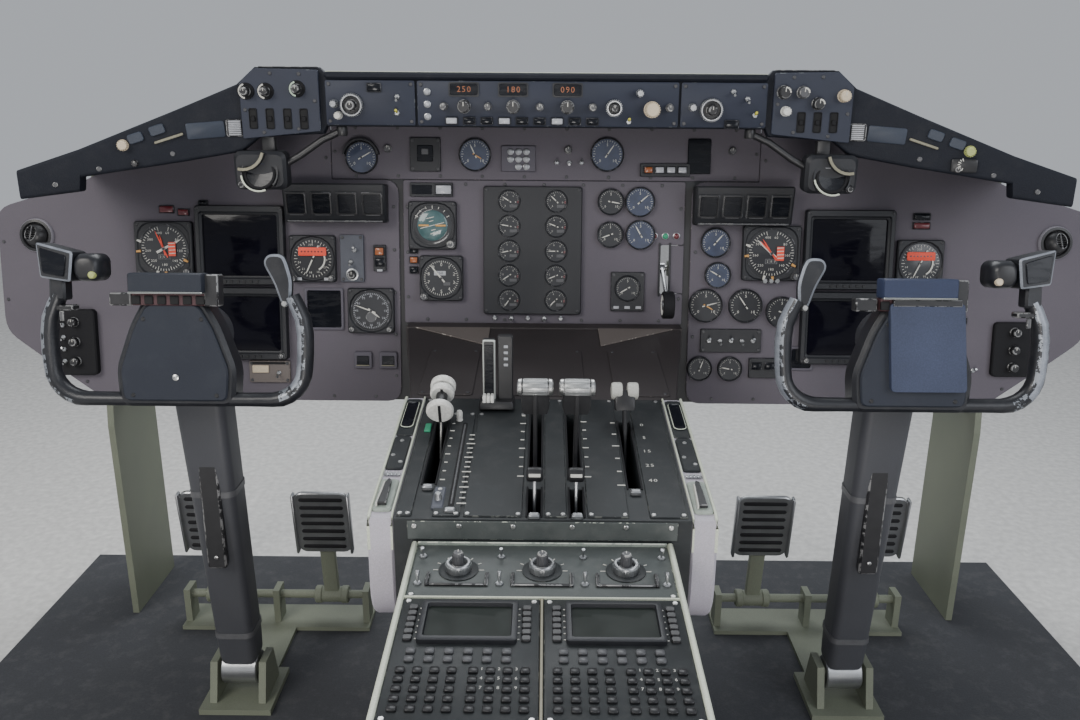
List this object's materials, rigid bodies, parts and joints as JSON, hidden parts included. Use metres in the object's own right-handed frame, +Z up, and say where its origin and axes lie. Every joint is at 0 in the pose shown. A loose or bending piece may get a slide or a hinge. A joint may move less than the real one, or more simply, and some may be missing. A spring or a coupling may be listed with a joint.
{
  "type": "airliner flight deck instrument panel assembly",
  "caption": "Front of an airliner flight deck: instrument panels under a glareshield, control columns with wheels, rudder pedals and centre pedestal on a floor panel.",
  "frame": {"origin": "under the middle of the floor panel", "axes": "+X across to the right hand pilot, +Y forward, +Z up"},
  "size_m": [1.97, 1.3, 1.059],
  "materials": {
    "floor_covering": "grey composite floor covering",
    "structure_paint": "grey-green primer paint on sheet metal",
    "panel_paint": "warm grey crackle paint on panel plates",
    "hood_vinyl": "dark blue-black grained vinyl",
    "instrument_black": "black instrument cases and bezels",
    "pedestal_paint": "grey-green paint, worn at the edges",
    "lobe_paint": "pale lavender grey moulding",
    "wheel_black": "black moulded grip worn to bare metal at its edges",
    "bare_metal": "satin bare metal",
    "white_knob": "white moulded knobs"
  },
  "bodies": {
    "root": {"air_outlet_left": "instrument_black", "air_outlet_right": "instrument_black", "airspeed_indicator_left": "instrument_black", "airspeed_indicator_right": "instrument_black", "annunciator_hood_left": "hood_vinyl", "annunciator_hood_right": "hood_vinyl", "attitude_display_left": "instrument_black", "attitude_display_right": "instrument_black", "centre_panel": "panel_paint", "clock_left": "instrument_black", "clock_right": "instrument_black", "control_display_unit_left": "instrument_black", "control_display_unit_right": "instrument_black", "control_floor_fitting_left": "structure_paint", "control_floor_fitting_right": "structure_paint", "engine_instruments": "instrument_black", "flight_guidance_panel": "instrument_black", "floor_panel": "floor_covering", "forward_console": "panel_paint", "glareshield_hood": "hood_vinyl", "left_pilot_panel": "panel_paint", "lighting_panel_left": "instrument_black", "lighting_panel_right": "instrument_black", "map_light_left": "instrument_black", "map_light_right": "instrument_black", "navigation_display_left": "instrument_black", "navigation_display_right": "instrument_black", "panel_beam": "structure_paint", "panel_frame_left": "structure_paint", "panel_frame_right": "structure_paint", "pedestal_body": "pedestal_paint", "quadrant_lobe_left": "lobe_paint", "quadrant_lobe_right": "lobe_paint", "radio_magnetic_indicator_left": "instrument_black", "radio_magnetic_indicator_right": "instrument_black", "radio_panel": "instrument_black", "right_pilot_panel": "panel_paint", "rotary_switch_panel": "instrument_black", "standby_altimeter": "instrument_black", "standby_horizon": "instrument_black", "throttle_quadrant": "pedestal_paint", "trim_handles": "bare_metal", "upper_centre_panel": "panel_paint"},
    "left_column": {"control_column_left": "structure_paint"},
    "left_wheel": {"control_wheel_left": "wheel_black"},
    "right_column": {"control_column_right": "structure_paint"},
    "right_wheel": {"control_wheel_right": "wheel_black"},
    "speed_brake": {"speed_brake_lever": "white_knob"},
    "left_thrust": {"thrust_lever_left": "bare_metal"},
    "right_thrust": {"thrust_lever_right": "bare_metal"},
    "flap": {"flap_lever": "bare_metal"},
    "left_fuel": {"fuel_lever_left": "bare_metal"},
    "right_fuel": {"fuel_lever_right": "bare_metal"},
    "gear": {"gear_handle": "white_knob"},
    "left_outer_pedal": {"rudder_pedal_left_left": "bare_metal"},
    "left_inner_pedal": {"rudder_pedal_left_right": "bare_metal"},
    "right_inner_pedal": {"rudder_pedal_right_left": "bare_metal"},
    "right_outer_pedal": {"rudder_pedal_right_right": "bare_metal"}
  },
  "joints": [
    {"name": "column_pitch_left", "type": "hinge", "parent": "root", "child": "left_column", "pos_m": [-0.512, 0.17, 0.075], "axis": [1, 0, 0], "range_deg": [-8, 12]},
    {"name": "column_pitch_right", "type": "hinge", "parent": "root", "child": "right_column", "pos_m": [0.512, 0.17, 0.075], "axis": [1, 0, 0], "range_deg": [-8, 12]},
    {"name": "wheel_roll_left", "type": "hinge", "parent": "left_column", "child": "left_wheel", "pos_m": [-0.512, 0.054, 0.69], "axis": [0, -0.9848, 0.1736], "range_deg": [-95, 95]},
    {"name": "wheel_roll_right", "type": "hinge", "parent": "right_column", "child": "right_wheel", "pos_m": [0.512, 0.054, 0.69], "axis": [0, -0.9848, 0.1736], "range_deg": [-95, 95]},
    {"name": "thrust_lever_left", "type": "hinge", "parent": "root", "child": "left_thrust", "pos_m": [-0.01, -0.07, 0.402], "axis": [-1, 0, 0], "range_deg": [0, 42]},
    {"name": "thrust_lever_right", "type": "hinge", "parent": "root", "child": "right_thrust", "pos_m": [0.04, -0.07, 0.402], "axis": [-1, 0, 0], "range_deg": [0, 42]},
    {"name": "speed_brake_lever", "type": "hinge", "parent": "root", "child": "speed_brake", "pos_m": [-0.14, -0.07, 0.402], "axis": [1, 0, 0], "range_deg": [0, 40]},
    {"name": "flap_lever", "type": "hinge", "parent": "root", "child": "flap", "pos_m": [0.112, -0.07, 0.402], "axis": [1, 0, 0], "range_deg": [0, 42]},
    {"name": "fuel_lever_left", "type": "hinge", "parent": "root", "child": "left_fuel", "pos_m": [-0.01, -0.196, 0.5], "axis": [1, 0, 0], "range_deg": [0, 32]},
    {"name": "fuel_lever_right", "type": "hinge", "parent": "root", "child": "right_fuel", "pos_m": [0.04, -0.196, 0.5], "axis": [1, 0, 0], "range_deg": [0, 32]},
    {"name": "gear_handle", "type": "hinge", "parent": "root", "child": "gear", "pos_m": [0.216, 0.49401, 0.7081], "axis": [-1, 0, 0], "range_deg": [0, 58]},
    {"name": "rudder_left_outer", "type": "hinge", "parent": "root", "child": "left_outer_pedal", "pos_m": [-0.617, 0.395, 0.08], "axis": [1, 0, 0], "range_deg": [-12, 12]},
    {"name": "rudder_left_inner", "type": "hinge", "parent": "root", "child": "left_inner_pedal", "pos_m": [-0.407, 0.395, 0.08], "axis": [1, 0, 0], "range_deg": [-12, 12]},
    {"name": "rudder_right_inner", "type": "hinge", "parent": "root", "child": "right_inner_pedal", "pos_m": [0.407, 0.395, 0.08], "axis": [1, 0, 0], "range_deg": [-12, 12]},
    {"name": "rudder_right_outer", "type": "hinge", "parent": "root", "child": "right_outer_pedal", "pos_m": [0.617, 0.395, 0.08], "axis": [1, 0, 0], "range_deg": [-12, 12]}
  ],
  "couplings": [
    {"joint": "column_pitch_right", "follows": "column_pitch_left", "ratio": 1},
    {"joint": "wheel_roll_right", "follows": "wheel_roll_left", "ratio": 1},
    {"joint": "rudder_left_inner", "follows": "rudder_left_outer", "ratio": -1},
    {"joint": "rudder_right_inner", "follows": "rudder_left_outer", "ratio": 1},
    {"joint": "rudder_right_outer", "follows": "rudder_left_outer", "ratio": -1}
  ]
}
